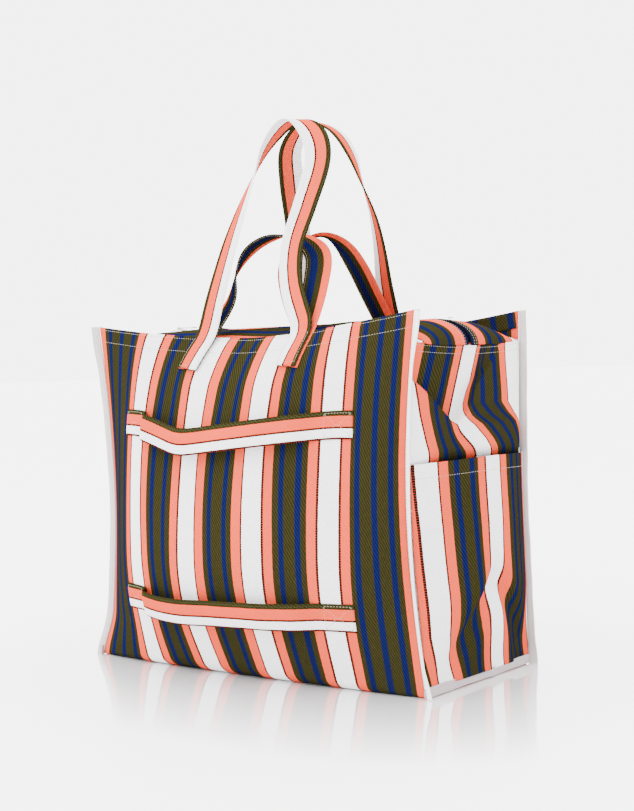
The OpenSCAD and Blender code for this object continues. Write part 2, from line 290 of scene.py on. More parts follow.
def cloth_coords(tree):
    """The cloth coordinates in metres, across and along the stripes."""
    uv = node(tree, "UVMap", uv_map="cloth")
    split = node(tree, "SeparateXYZ", Vector=uv.outputs["UV"])
    return split.outputs["X"], split.outputs["Y"]


def weave(tree, x, y, lean=1.0):
    """Twill lines, warp ribs, uneven threads and wear, each from 0 to 1."""
    coords = node(tree, "CombineXYZ", X=x, Y=y).outputs[0]
    across = math_node(tree, "MULTIPLY", x, 2 * math.pi * TWILL_ACROSS / TWILL_PITCH)
    up = math_node(tree, "MULTIPLY", y, lean * 2 * math.pi * TWILL_UP / TWILL_PITCH)
    drift = math_node(tree, "MULTIPLY", noise(tree, coords, 60.0, 1.0), 5.0)
    phase = math_node(tree, "ADD", math_node(tree, "ADD", across, up), drift)
    twill = math_node(tree, "POWER", wave(tree, phase), 1.8)
    rib = wave(tree, math_node(tree, "MULTIPLY", x, 2 * math.pi / RIB_PITCH))
    stretched = node(tree, "CombineXYZ", X=math_node(tree, "MULTIPLY", x, 1400.0),
                     Y=math_node(tree, "MULTIPLY", y, 130.0))
    slub = noise(tree, stretched.outputs[0], 1.0, 2.0)
    return twill, rib, slub, noise(tree, coords, 9.0, 3.0)


def striped(name, spec, start=0.0, mirrored=False, lean=1.0):
    """Woven cloth with stripes across U. The spec starts at U = start millimetres."""
    material, tree, shader = new_material(name, 0.8)
    x, y = cloth_coords(tree)
    letters = [word[0] for word in spec.split()]
    ends = np.cumsum([float(word[1:]) for word in spec.split()])
    span = float(ends[-1])
    twill, rib, slub, worn = weave(tree, x, y, lean)
    side = math_node(tree, "ABSOLUTE", x) if mirrored else x
    uneven = math_node(tree, "MULTIPLY_ADD", slub, 0.0006, -0.0003)
    side = math_node(tree, "ADD", side, uneven)
    place = math_node(tree, "DIVIDE", math_node(tree, "SUBTRACT", side, start * MM), span * MM)
    starts = [0.0, *(float(end) / span for end in ends[:-1])]
    colour = ramp(tree, place, [(at, COLOURS[c]) for at, c in zip(starts, letters)])
    is_line = ramp(tree, place, [(at, (float(c == "k"),) * 3) for at, c in zip(starts, letters)])
    step = math_node(tree, "FRACT", math_node(tree, "DIVIDE", y, DASH_PITCH))
    gaps = math_node(tree, "MULTIPLY", math_node(tree, "LESS_THAN", step, DASH_GAP), GAP_SHOWS)
    broken = math_node(tree, "MULTIPLY", is_line, gaps)
    mixed = node(tree, "Mix", data_type="RGBA", Factor=broken, A=colour, B=COLOURS["C"])
    colour = mixed.outputs["Result"]
    # The darker the stripe, the more its twill and threads show.
    grey = node(tree, "RGBToBW", Color=colour).outputs[0]
    contrast = map_range(tree, grey, (0.015, 0.12), (0.8, 0.09))
    twill_part = math_node(tree, "MULTIPLY", math_node(tree, "SUBTRACT", twill, 0.36), contrast)
    slub_part = math_node(tree, "MULTIPLY", math_node(tree, "SUBTRACT", slub, 0.5),
                          math_node(tree, "MULTIPLY", contrast, 0.9))
    rib_part = math_node(tree, "MULTIPLY_ADD", rib, 0.05, -0.025)
    worn_part = math_node(tree, "MULTIPLY_ADD", worn, 0.16, -0.08)
    value = math_node(tree, "ADD", math_node(tree, "ADD", twill_part, slub_part),
                      math_node(tree, "ADD", rib_part, worn_part))
    tint(tree, shader, colour, math_node(tree, "ADD", value, 1.0))
    rough = math_node(tree, "MULTIPLY_ADD", twill, -0.16, 0.76)
    tree.links.new(rough, shader.inputs["Roughness"])
    height = math_node(tree, "ADD", math_node(tree, "MULTIPLY", twill, 0.6),
                       math_node(tree, "ADD", math_node(tree, "MULTIPLY", rib, 0.25),
                                 math_node(tree, "MULTIPLY", slub, 0.3)))
    bump(tree, shader, height, 0.00045)
    return material


def tape_material(name, colour, roughness=0.7, rib_mm=1.1, value=0.1):
    """Ribbed woven tape of one colour. value is the strength of its soiled and worn tones."""
    material, tree, shader = new_material(name, roughness)
    x, y = cloth_coords(tree)
    rib = wave(tree, math_node(tree, "MULTIPLY", y, 2 * math.pi / (rib_mm * MM)))
    _, warp, slub, worn = weave(tree, x, y)
    tone = math_node(tree, "ADD", math_node(tree, "MULTIPLY", rib, value * 0.5),
                     math_node(tree, "MULTIPLY", worn, value * 1.6))
    tone = math_node(tree, "ADD", tone, math_node(tree, "MULTIPLY", slub, value))
    tint(tree, shader, colour, math_node(tree, "ADD", tone, 1.0 - value * 1.5))
    height = math_node(tree, "ADD", math_node(tree, "MULTIPLY", rib, 0.6),
                       math_node(tree, "ADD", math_node(tree, "MULTIPLY", warp, 0.25),
                                 math_node(tree, "MULTIPLY", slub, 0.4)))
    bump(tree, shader, height, 0.0003)
    return material


def thread_material(name, colour):
    """Twisted thread."""
    material, tree, shader = new_material(name, 0.6)
    twist = noise(tree, node(tree, "TexCoord").outputs["Object"], 700.0, 2.0)
    tint(tree, shader, colour, math_node(tree, "MULTIPLY_ADD", twist, 0.5, 0.75))
    bump(tree, shader, twist, 0.0001)
    return material


def metal_material(name, colour, roughness):
    """Metal with fine scratches along X."""
    material, tree, shader = new_material(name, roughness, metallic=1.0, specular=0.5)
    place = node(tree, "TexCoord").outputs["Object"]
    squash = node(tree, "Mapping", Vector=place, Scale=(40, 900, 900))
    grain = noise(tree, squash.outputs[0], 1.0, 3.0)
    rough = math_node(tree, "MULTIPLY_ADD", grain, 0.25, roughness - 0.1)
    tree.links.new(rough, shader.inputs["Roughness"])
    tint(tree, shader, colour, math_node(tree, "MULTIPLY_ADD", grain, 0.2, 0.9))
    bump(tree, shader, grain, 0.00005)
    return material


# Stripes are written as a colour's letter and a width in millimetres.
WHITE_BAND = "C11.3 k2.6 W23.7 k2.6 C11.3"
NARROW = "o7.2 B6.3 o13.8 B6.3 o7.2"
WIDE_OUT = "o5.5 B7 o16 B8 o16 B7.5 o8"

CANVAS = striped("canvas", f"o6.9 B6.3 o7.2 {WHITE_BAND} {NARROW} {WHITE_BAND} {WIDE_OUT} C20",
                 mirrored=True)
END_CANVAS = striped("canvas_ends", f"o9 {WHITE_BAND} {NARROW} {WHITE_BAND} "
                     f"o8 B7 o15 B8 o15 B7.5 o7.5 C11.3 k2.6 W30", start=-127.0)
FRONT_TOP = striped("canvas_front_top", "C18.5 o7 B7 o16 B7 o8 C13 k2 W20", start=10.2)
BACK_TOP = striped("canvas_back_top", "o5 C13 o6 B7 o13 B7 o7 C13 k2 W24", start=10.2)
LONG_WEB = striped("long_webbing", "o5.5 C11.2 k2.1 W11.2", lean=-1.0)
FRONT_WEB = striped("front_webbing", "o5.5 C11.2 k2.1 W9.2 k2", lean=-1.0)
SHORT_WEB = striped("short_webbing", "C9 o7 B8 o6", lean=-1.0)
TAPE = tape_material("binding_tape", (0.74, 0.72, 0.725))
# The same white tape with painted shade: darker, for the three fins that lie in the bag's shade.
PAINTED_SHADE_FIN_TAPE = tape_material("binding_tape_fins_painted_shade", (0.43, 0.39, 0.385))
# The same white tape with painted shade, darker still, for the tapes along the foot of each end near the
# floor.
PAINTED_SHADE_FOOT_TAPE = tape_material("binding_tape_foot_painted_shade", (0.34, 0.295, 0.305))
ZIP_TAPE = tape_material("zip_tape", (0.0035, 0.0045, 0.017), rib_mm=0.8, value=0.3)
THREAD = thread_material("thread_light", (0.30, 0.27, 0.21))
GREEN_THREAD = thread_material("thread_olive", (0.06, 0.065, 0.03))
TEETH = tape_material("zip_teeth", (0.004, 0.004, 0.005), roughness=0.35, value=0.3)
METAL = metal_material("zip_metal", (0.62, 0.61, 0.60), 0.3)


# -------------------------------------------------------------- stitches

# A stitch's rings: place as a share of its length, height off the cloth, and radius.
STITCH_RINGS = ((-0.5, -0.3, 0.12), (-0.3, 0.1, 0.2), (0.3, 0.1, 0.2), (0.5, -0.3, 0.12))
STITCH_SIDES = 5


class Threads:
    """Collects stitches and turns them into one mesh."""

    def __init__(self, name, material):
        self.name, self.material = name, material
        self.verts, self.faces, self.count = [], [], 0

    def sew(self, line, out, pitch=3.3, length=2.5, mirror=(1, 1, 1)):
        """Stitches along a line, as short round threads whose ends dip into the cloth."""
        line, out = np.asarray(line, float), unit(np.asarray(out, float))
        run = lengths(line)
        count = max(int(run[-1] / pitch), 1)
        middle = (np.arange(count) + 0.5) * run[-1] / count
        share, lift, radius = np.array(STITCH_RINGS).T
        at = middle[:, None] + share * length
        centre = resampled(line, run, at)
        up = unit(resampled(out, run, at))
        ahead = unit(np.gradient(centre, axis=1))
        side = unit(np.cross(up, ahead))
        centre = centre + up * lift[None, :, None]
        angle = np.arange(STITCH_SIDES) * 2 * math.pi / STITCH_SIDES
        ring = np.cos(angle)[:, None] * side[:, :, None] + np.sin(angle)[:, None] * up[:, :, None]
        verts = (centre[:, :, None] + radius[None, :, None, None] * ring) * np.array(mirror)
        n, size = STITCH_SIDES, STITCH_SIDES * len(STITCH_RINGS)
        first = self.count + np.arange(count) * size
        for start in range(0, size - n, n):
            for k in range(n):
                a, b = start + k, start + (k + 1) % n
                quad = np.stack([first + a, first + b, first + b + n, first + a + n], 1)
                self.faces += quad.tolist()
        self.faces += (first[:, None] + np.arange(n - 1, -1, -1)).tolist()
        self.faces += (first[:, None] + np.arange(size - n, size)).tolist()
        self.verts.append(verts.reshape(-1, 3))
        self.count += count * size

    def make(self, body="bag"):
        return piece(self.name, np.concatenate(self.verts), self.faces, self.material, body=body)


SIDES = {"front": (1, 1, 1), "back": (1, -1, 1)}
ENDS = {"right": (1, 1, 1), "left": (-1, 1, 1)}


# ---------------------------------------------------- front and back panel

FULLEST = 0.36        # share of the height where the swell is fullest
CLOTH_HALF = 244.5    # half the width that the stripes are laid out on
HEM = 19


def seam_at(t):
    """x of the vertical seam at the share t of its height."""
    return SEAM_X - DRAW_IN * np.sin(np.pi * t)


def rim_z(u):
    """Height of the rim, which dips between its corners at u = -1 and u = 1."""
    return BAG_H - RIM_DIP * (1 - np.abs(u) ** 1.6)


def swell_across(u):
    """Share of the swell across the panel, fullest a little left of its middle."""
    w = np.where(u > -0.2, (u + 0.2) / 1.2, (u + 0.2) / 0.8)
    return 1 - np.minimum(np.abs(w), 1) ** 2.6


def swell_up(t):
    """Swell in millimetres up the panel, fullest at FULLEST."""
    low = mix(BELLY_FOOT, BELLY, np.sin(np.pi / 2 * np.clip(t / FULLEST, 0, 1)))
    high = BELLY * np.maximum(np.cos(np.pi / 2 * (t - FULLEST) / (1 - FULLEST)), 0) ** 0.75
    return np.where(t < FULLEST, low, high)


def tuck(u, z):
    """How far the rounded foot of the panel lies back from its face."""
    r = mix(4, 14, swell_across(u))
    return np.where(z < r, r - np.sqrt(np.maximum(r * r - (r - z) ** 2, 0)), 0)


def shell(u, t):
    """Outer face of the front at u from -1 to 1 across and t from 0 to 1 up."""
    u, t = np.broadcast_arrays(np.asarray(u, float), np.asarray(t, float))
    lean = 15 * (1 - smooth((np.abs(u) - 0.2) / 0.55)) * (np.maximum(t - 0.85, 0) / 0.15) ** 1.5
    z = t * rim_z(u)
    y = -SEAM_Y - swell_across(u) * swell_up(t) + lean + tuck(u, z)
    soft = smooth((1 - np.abs(u)) / 0.3) * smooth(t / 0.2)
    folds = 1.3 * np.sin(17 * u + 3 * t) * smooth((t - 0.55) / 0.35)
    folds = folds + 1.2 * np.sin(7.5 * u - 6 * t + 1) + 0.8 * np.sin(13 * u + 9 * t)
    return point(u * seam_at(t), y + soft * folds * 0.8, z)


def front_at(x, z, off=0.0):
    """Points on the front at x and z, moved out by off, and their normals."""
    x, z = np.broadcast_arrays(np.asarray(x, float), np.asarray(z, float))

    def place(x, z):
        u = x / SEAM_X
        for _ in range(6):
            u = x / seam_at(z / rim_z(u))
        return shell(u, z / rim_z(u))

    p = place(x, z)
    out = unit(np.cross(place(x + 1, z) - place(x - 1, z), p - place(x, z - 1)))
    return p + off * out, out


def rim_at(x):
    return rim_z(np.asarray(x, float) / SEAM_X)


def cloth_x(x, t):
    """Distance across the flat cloth from its middle, for a point x of the panel."""
    seam = seam_at(t)
    edge = np.clip((np.abs(x) - 90) / (seam - 90), 0, 1)
    return x + np.sign(x) * (CLOTH_HALF - seam) * edge ** 3


def panels():
    """Each panel with the part that it turns under the bag, its hem and its stitches."""
    u = np.linspace(-1, 1, 181)
    t = np.linspace(0, 1, 151) ** 1.25
    wall = shell(u[None], t[:, None])
    base = [wall[0] * [1, 1 - k, 1] + [0, -0.2 * k, 0] for k in np.linspace(1, 0, 12)[:-1]]
    grid = np.concatenate([np.array(base), wall])
    down = np.linalg.norm(np.diff(grid, axis=0), axis=-1).mean(axis=1)
    along = np.concatenate([[0], np.cumsum(down)])
    levels = np.concatenate([np.zeros(len(base)), t])[:, None]
    uv = cloth_uv(cloth_x(grid[..., 0], levels), along[:, None])
    for side, mirror in SIDES.items():
        panel = cloth(f"{side}_panel_cloth", grid, uv, CANVAS, 1.2, mirror)
        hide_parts(f"{side}_panel")
        hem = Threads(f"{side}_hem_stitches", THREAD)
        x = np.linspace(-227, 227, 400)
        for depth in (3, HEM - 2):
            hem.sew(*front_at(x, rim_at(x) - depth), mirror=mirror)
        depths = np.linspace(HEM, 0.4, 9)
        strip = np.array([front_at(x, rim_at(x) - depth, -1.25)[0] for depth in depths])
        strip_uv = cloth_uv(x[None], np.linspace(0, HEM, 9)[:, None])
        turned = cloth(f"{side}_hem_fold", strip, strip_uv, CANVAS, 1.0, mirror)
        hem.make()


panels()


# ------------------------------------------------------ gussets and pockets

def gusset_top(y):
    return 362 + 5 * (y / GUSSET_Y) ** 2


def pocket_rim(y):
    return POCKET_H - POCKET_DIP * (y / GUSSET_Y) ** 2


def end_round(y, sharp):
    """From 0 at the seams to 1 in the middle of an end, flatter where sharp is higher."""
    return np.maximum(1 - np.abs(y / (GUSSET_Y + 1.5)) ** sharp, 0) ** 0.8


# Where the folded-in top of the gusset meets the wings of cloth below it.
RIDGE_Y = [-101, -35, -21, -11, -3, 53, 60]
RIDGE_Z = [332, 279, 284, 292, 318, 363, 400]


def ridge_z(y):
    """Height of the folded-in cloth's lower edge, its corners rounded."""
    return sum(np.interp(y + step, RIDGE_Y, RIDGE_Z) for step in (-9, -6, -3, 0, 3, 6, 9)) / 7


def gusset_shape(y, z):
    """x of the gusset, and how far its cloth is shifted along y."""
    # The cloth below the fold, fullest at about z = 250, with a dent in the left wing.
    seam = seam_at(z / BAG_H)
    puff = mix(2, 24, smooth((z - 215) / 40)) * smooth(z / 60)
    puff = mix(puff, 16, smooth((z - 250) / 50))
    puff = mix(puff, 12, smooth((z - 300) / 60))
    full = mix(end_round(y, 2.2), end_round(y, 3.6), smooth((z - 250) / 55))
    lower = seam + puff * full
    lower = lower - 6 * np.exp(-((y + 24) / 20) ** 2 - ((z - 266) / 20) ** 2)
    # The cloth above it, which leans in from the closure's edge.
    top = gusset_top(y)
    upper = seam_at(top / BAG_H) + 12 * end_round(y, 2.4) - 0.29 * (top - z)
    above = smooth((z - ridge_z(y) + 3) / 6)
    x = mix(lower, upper, above)
    # The stripes' shift at the left and right of the lower cloth, then on the upper cloth.
    left = np.interp(z, [243, 262, 292, 330], [2, -4, -12, -20])
    left = left - 10 * np.exp(-((y + 30) / 26) ** 2 - ((z - 280) / 22) ** 2)
    right = np.interp(z, [243, 262, 277, 287, 300, 362], [12, -2, -16, -33, -47, -49])
    low_shift = mix(left, right, smooth((y + 72) / 80))
    high_shift = mix(-11, -49, smooth((y - 3) / 22)) - 11 * smooth((-45 - y) / 50)
    return x, mix(low_shift, high_shift, above)


def pocket_shape(y, z):
    """x of the pocket, and how far its cloth is shifted along y."""
    seam = seam_at(z / BAG_H)
    puff = mix(3, 29, smooth(z / 105)) * end_round(y, 2.1)
    # Two creases run down to the seams from a pinch at y = 20, z = 112.
    ridge = 112 - np.where(y < 20, 0.95 * (20 - y), 1.25 * (y - 20))
    above = z - ridge
    valley = np.where(above > 0, np.exp(-(above / 16) ** 2), np.exp(-(above / 26) ** 2))
    deep = 12 * np.exp(-((y - 20) / 75) ** 2) * smooth((GUSSET_Y - np.abs(y)) / 30)
    pinch = 4 * np.exp(-((y - 20) / 22) ** 2 - ((z - 116) / 45) ** 2)
    x = seam + 2.2 + puff - deep * valley - pinch
    x = np.maximum(x, seam + 2.4)
    shift = np.interp(z, [10, 60, 170, 243], [30, 19, 16, 11])
    return x, shift - 6 * smooth((-15 - y) / 50) - 34 * smooth((y - 48) / 48)


def grid_of(shape, y, z):
    """The points of a shape over an end, and their cloth coordinates."""
    x, shift = shape(y, z)
    grid = point(x, y, z)
    up = np.linalg.norm(np.diff(grid, axis=0), axis=-1).mean(axis=1)
    along = np.concatenate([[0], np.cumsum(up)])[:, None]
    return grid, cloth_uv(y - shift, along)


def on_end(shape, y, z, off=0.0):
    """Points on an end's cloth, moved out by off, and their normals."""
    y, z = np.broadcast_arrays(np.asarray(y, float), np.asarray(z, float))

    def place(y, z):
        return point(shape(y, z)[0], y, z)

    p = place(y, z)
    out = unit(np.cross(place(y + 1, z) - place(y - 1, z), place(y, z + 1) - place(y, z - 1)))
    return p + off * out, out


def gussets():
    """Each end's gusset and pocket, with their stitches and the pocket's hem."""
    across = np.linspace(-1, 1, 151)[None] * GUSSET_Y
    up = np.linspace(0, 1, 181)[:, None]
    grid, uv = grid_of(gusset_shape, across + 0 * up, mix(5, gusset_top(across), up))
    pocket_y = np.linspace(-1, 1, 131)[None] * GUSSET_Y
    pocket_up = np.linspace(0, 1, 121)[:, None]
    pocket_z = mix(9, pocket_rim(pocket_y), pocket_up)
    pocket, pocket_uv = grid_of(pocket_shape, pocket_y + 0 * pocket_up, pocket_z)
    for end, mirror in ENDS.items():
        gusset = cloth(f"{end}_gusset_cloth", grid, uv, END_CANVAS, 1.1, mirror)
        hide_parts(f"{end}_gusset")
        bag = cloth(f"{end}_pocket_cloth", pocket, pocket_uv, END_CANVAS, 1.1, mirror)
        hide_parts(f"{end}_pocket")
        seams = Threads(f"{end}_end_stitches", THREAD)
        y = np.linspace(-GUSSET_Y + 3, GUSSET_Y - 3, 160)
        for depth in (2.5, 9):
            seams.sew(*on_end(gusset_shape, y, gusset_top(y) - depth), mirror=mirror)
        seams.sew(*on_end(pocket_shape, y, pocket_rim(y) - 15), mirror=mirror)
        depths = np.linspace(HEM - 2, 0.4, 7)
        fold = np.array([
            on_end(pocket_shape, y, pocket_rim(y) - depth, -1.15)[0] for depth in depths])
        fold_uv = cloth_uv(y[None] - 11, np.linspace(0, HEM - 2, 7)[:, None])
        turned = cloth(f"{end}_pocket_hem_fold", fold, fold_uv, END_CANVAS, 1.0, mirror)
        seams.make()


gussets()


# --------------------------------------------------------------- bindings

# Width and thickness of the tapes, and how far their stitches are from the seam.
FIN_W, FIN_T, FIN_STITCH = 10.4, 2.4, 3.2
FOOT_W, FOOT_T, FOOT_STITCH = 10.9, 2.8, 2.8


def tape_along(name, root, wide, thick_dir, width, thick, material, mirror):
    """Folded tape: its fold is on the outer edge, its two open edges at the root line."""
    run = lengths(root)
    wave = 0.25 * np.sin(run / 17) + 0.2 * np.sin(run / 7.3 + 1)
    angle = np.linspace(-np.pi / 2, np.pi / 2, 9)
    q = np.concatenate([np.linspace(0, 0.86, 8), 0.86 + 0.14 * np.cos(angle[1:-1]),
                        np.linspace(0.86, 0, 8)])
    half = thick / 2 * np.concatenate([0.82 + 0.18 * np.sin(np.linspace(0, np.pi, 8)),
                                       -np.sin(angle[1:-1]),
                                       -0.82 - 0.18 * np.sin(np.linspace(np.pi, 0, 8))])
    q, half = np.append(q, q[0]), np.append(half, half[0])
    grid = (root[:, None] + wide[:, None] * (q[None, :, None] * (width + wave[:, None, None]))
            + thick_dir[:, None] * half[None, :, None])
    rows, cols = grid.shape[:2]
    i, j = np.meshgrid(np.arange(rows - 1), np.arange(cols - 1), indexing="ij")
    a = (i * cols + j).ravel()
    faces = np.stack([a, a + 1, a + cols + 1, a + cols], 1)
    if np.prod(mirror) > 0:
        faces = faces[:, ::-1]
    caps = [list(range(cols - 1)), list(range((rows - 1) * cols, rows * cols - 1))]
    uv = cloth_uv(np.linspace(0, 2 * width, cols)[None], run[:, None])
    verts = grid.reshape(-1, 3) * np.array(mirror)
    return piece(name, verts, faces.tolist() + caps, material, uv.reshape(-1, 2))


def corner_line(front, right):
    """Root, direction and thickness direction of the tape on a vertical seam.

    The tape at the front of the right end, which the camera faces, splays outwards. The
    others stand out along X.
    """
    z = np.linspace(0, BAG_H, 150)
    seam = point(seam_at(z / BAG_H), -SEAM_Y + 0 * z, z)
    top, foot = smooth((z - 335) / 60), smooth((38 - z) / 38)
    angle = np.radians(45 - 22 * top - 18 * foot + 3 * np.sin(z / 47))
    if not front:
        angle = np.radians(-8 + 20 * foot + 3 * np.sin(z / 39))
    elif not right:
        angle = np.radians(-4 + 30 * top + 6 * foot + 3 * np.sin(z / 39))
    wide = point(np.cos(angle), -np.sin(angle), 0 * z)
    thick = point(np.sin(angle), np.cos(angle), 0 * z)
    return seam + wide * 1.0, wide, thick


def bindings():
    """The tapes of the four vertical seams, then those along the foot of each end."""
    stitched = Threads("binding_stitches", THREAD)
    for side, s in SIDES.items():
        for end, e in ENDS.items():
            root, wide, thick = corner_line(side == "front", end == "right")
            mirror = tuple(a * b for a, b in zip(s, e))
            # Only the front right tape, which faces the key light and the camera, keeps the lit colour; the
            # other fins get the tape with painted shade.
            material = TAPE if (side, end) == ("front", "right") else PAINTED_SHADE_FIN_TAPE
            name = f"{side}_{end}_tape"
            tape = tape_along(name, root, wide, thick, FIN_W, FIN_T, material, mirror)
            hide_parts(f"{side}_{end}_binding")
            for face in (-1, 1):
                line = root + wide * FIN_STITCH + thick * face * 1.25
                stitched.sew(line[2:-2], thick[2:-2] * face, pitch=3.6, mirror=mirror)
    y = np.linspace(-GUSSET_Y - 6, GUSSET_Y + 6, 120)
    bulge = np.exp(-((y - 22) / 5) ** 2)
    root = point(SEAM_X + 1.6 + 2.2 * bulge, y, 11.4 + 0 * y)
    wide = point(0 * y, 0 * y, -1 + 0 * y)
    thick = point(1 + 0 * y, 0 * y, 0 * y)
    for end, mirror in ENDS.items():
        name = f"{end}_bottom_tape"
        # The foot tapes get the tape with painted shade.
        tape = tape_along(name, root, wide, thick, FOOT_W, FOOT_T, PAINTED_SHADE_FOOT_TAPE, mirror)
        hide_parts(f"{end}_bottom_binding")
        line = root + wide * FOOT_STITCH + thick * 1.35
        stitched.sew(line[4:-4], thick[4:-4], pitch=3.6, mirror=mirror)
    stitched.make()


bindings()


# ---------------------------------------------------------------- closure

CLOSED_X = 186.0
CLOSURE_FOOT, CLOSURE_RISE, CLOSURE_Y = 366, 26, 96.2
FLAP_FOLD_Y, FLAP_FADE = 78, 0.075
TOOTH_PITCH, COIL_MARGIN = 1.5, 12.0
# One tooth's outline across the tape, and its slices along the tape with their sizes.
TOOTH = ((-1.35, -0.5), (1.25, -0.5), (1.45, 0.1), (-1.35, 0.75))
TOOTH_SLICES = ((-0.5, 0.78), (-0.25, 1.0), (0.25, 1.0), (0.5, 0.78))


def closure_height(y):
    return CLOSURE_FOOT + CLOSURE_RISE * (1 - np.minimum(np.abs(y) / CLOSURE_Y, 1) ** 3.5)


def closure_row(y):
    """One line of the closure from end to end at distance y from the zip (signed)."""
    f = np.linspace(0, 1, 20)
    top_z = gusset_top(y) + 0.6
    x1 = gusset_shape(np.array([y]), np.array([top_z]))[0][0] + 0.4
    x = mix(CLOSED_X + 1, x1, np.sin(np.pi / 2 * f))
    z = mix(top_z, closure_height(y), np.cos(np.pi / 2 * f) ** 0.9)
    middle = np.linspace(-CLOSED_X, CLOSED_X, 110)
    xs = np.concatenate([-x[::-1], middle, x])
    zs = np.concatenate([z[::-1], closure_height(y) + 0 * middle, z])
    sway = smooth((abs(y) - 14) / 25) * smooth((96 - abs(y)) / 20)
    zs = zs + sway * (1.2 * np.sin(xs / 38 + y / 30) + 0.8 * np.sin(xs / 19 - y / 17))
    return point(xs, y + 0 * xs, zs)


def open_weights(obj, side):
    """The flap follows its body in the middle and stays with the bag at its ends."""
    sign = -1 if side == "front" else 1
    start, end = ((0, sign * (FLAP_FOLD_Y + half) * MM, 0.38) for half in (4, -4))
    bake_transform(obj, "bag", f"{side}_flap", start=start, end=end)
    co = np.array([v.co for v in obj.data.vertices])
    weights = np.empty(len(co), np.float32)
    stored = obj.data.attributes["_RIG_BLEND"]
    stored.data.foreach_get("value", weights)
    fade = smooth((CLOSED_X * MM - np.abs(co[:, 0])) / FLAP_FADE)
    stored.data.foreach_set("value", (weights * fade).astype(np.float32))


def closure():
    """Each half of the zipped top: its cloth, its zip tape, its stitches and its coil."""
    for side, mirror in SIDES.items():
        rows = np.linspace(-95.6, -9.6, 50)     # from the panel to the zip tape
        grid = np.array([closure_row(y) for y in rows])
        along = lengths(grid[len(rows) // 2])
        uv = cloth_uv(-rows[:, None], along[None])
        material = FRONT_TOP if side == "front" else BACK_TOP
        top = cloth(f"{side}_closure_cloth", grid, uv, material, 1.1, mirror, body=None)
        open_weights(top, side)
        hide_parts(f"{side}_closure_margin", f"{side}_closure_flap")
        tape_rows = np.linspace(-10.2, -2.7, 6)
        tape = np.array([closure_row(y) for y in tape_rows]) - [0, 0, 0.25]
        tape_uv = cloth_uv(tape_rows[:, None], lengths(tape[2])[None])
        band = cloth(f"{side}_zip_tape_cloth", tape, tape_uv, ZIP_TAPE, 0.8, mirror, body=None)
        open_weights(band, side)
        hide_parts(f"{side}_zip_tape")
        edge = Threads(f"{side}_zip_stitches", THREAD)
        for y in (-8.1, -12.6):
            line = closure_row(y)
            out = np.cross(unit(np.gradient(line, axis=0)), [0, 1, 0])
            length = 1.9 if y > -10 else 2.2
            edge.sew(line, out, pitch=3.0, length=length, mirror=mirror)
        sewn = edge.make(body=None)
        open_weights(sewn, side)
        coil(side, mirror)
        for part in (top, band, sewn, bpy.data.objects[f"{side}_zip_coil"]):
            shifted_ends(part)
    for end in ENDS:
        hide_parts(f"{end}_closure_end", f"{end}_zip_end")


def shifted_ends(obj):
    """Near its two ends the closure is sewn a little forward of the middle."""
    for vertex in obj.data.vertices:
        x, y = abs(vertex.co.x), vertex.co.y
        near = float(smooth(np.array((x - 0.165) / 0.06)))
        vertex.co.y = y - 0.012 * near * max(1 - (y / 0.096) ** 2, 0)


def coil(side, mirror):
    """The coil of one side, as one block for each tooth."""
    line = closure_row(-1.5)
    run = lengths(line)
    at = np.arange(COIL_MARGIN, run[-1] - COIL_MARGIN, TOOTH_PITCH)
    centre = resampled(line, run, at)
    ahead = unit(np.gradient(centre, axis=0))
    out = unit(np.cross(ahead, [0, 1, 0]))
    verts, faces = [], []
    for middle, along_x, up in zip(centre, ahead, out):
        first = len(verts)
        for place, grow in TOOTH_SLICES:
            for y, z in TOOTH:
                verts.append(middle + along_x * place + [0, y * grow + 0.1, 0] + up * z * grow)
        for r in range(3):
            for c in range(4):
                a, b = first + r * 4 + c, first + r * 4 + (c + 1) % 4
                faces.append([a, b, b + 4, a + 4])
        faces += [[first + c for c in (3, 2, 1, 0)], [first + 12 + c for c in range(4)]]
    verts = np.array(verts)
    uv = verts[:, [1, 0]]
    obj = piece(f"{side}_zip_coil", verts * np.array(mirror), faces, TEETH, uv, body=None)
    open_weights(obj, side)
    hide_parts(f"{side}_zip_teeth")


closure()


# ----------------------------------------------------------------- straps

STRAP_COLS = 13


def strap_edge(q):
    """Share of the strap's thickness at q from -1 to 1 across it, thin at both edges."""
    return np.maximum(1 - np.abs(q) ** 8, 0.12)


def ribbon(name, centre, wide, material):
    """A woven strap: centre line, and the unit direction of its width at each point."""
    ahead = unit(np.gradient(centre, axis=0))
    wide = unit(wide - ahead * np.sum(wide * ahead, axis=1, keepdims=True))
    up = unit(np.cross(ahead, wide))
    q = np.linspace(-1, 1, STRAP_COLS)
    half = STRAP_T / 2 * strap_edge(q)
    flat = centre[:, None] + wide[:, None] * (q[None, :, None] * STRAP_W / 2)
    rise = up[:, None] * half[None, :, None]
    run = lengths(centre)
    uv = cloth_uv(((q + 1) / 2 * STRAP_W)[None], run[:, None])
    return skin(name, flat + rise, flat - rise, uv, material, body=None), wide, up


def along(route, f):
    """Points on a smooth curve through the points of a route."""
    route = np.asarray(route, float)
    n = len(route) - 1
    i = np.minimum(np.floor(f * n).astype(int), n - 1)
    t = (f * n - i)[:, None]
    a, b = route[np.maximum(i - 1, 0)], route[i]
    c, d = route[i + 1], route[np.minimum(i + 2, n)]
    return 0.5 * (2 * b + (c - a) * t + (2 * a - 5 * b + 4 * c - d) * t * t
                  + (3 * b - a - 3 * c + d) * t ** 3)


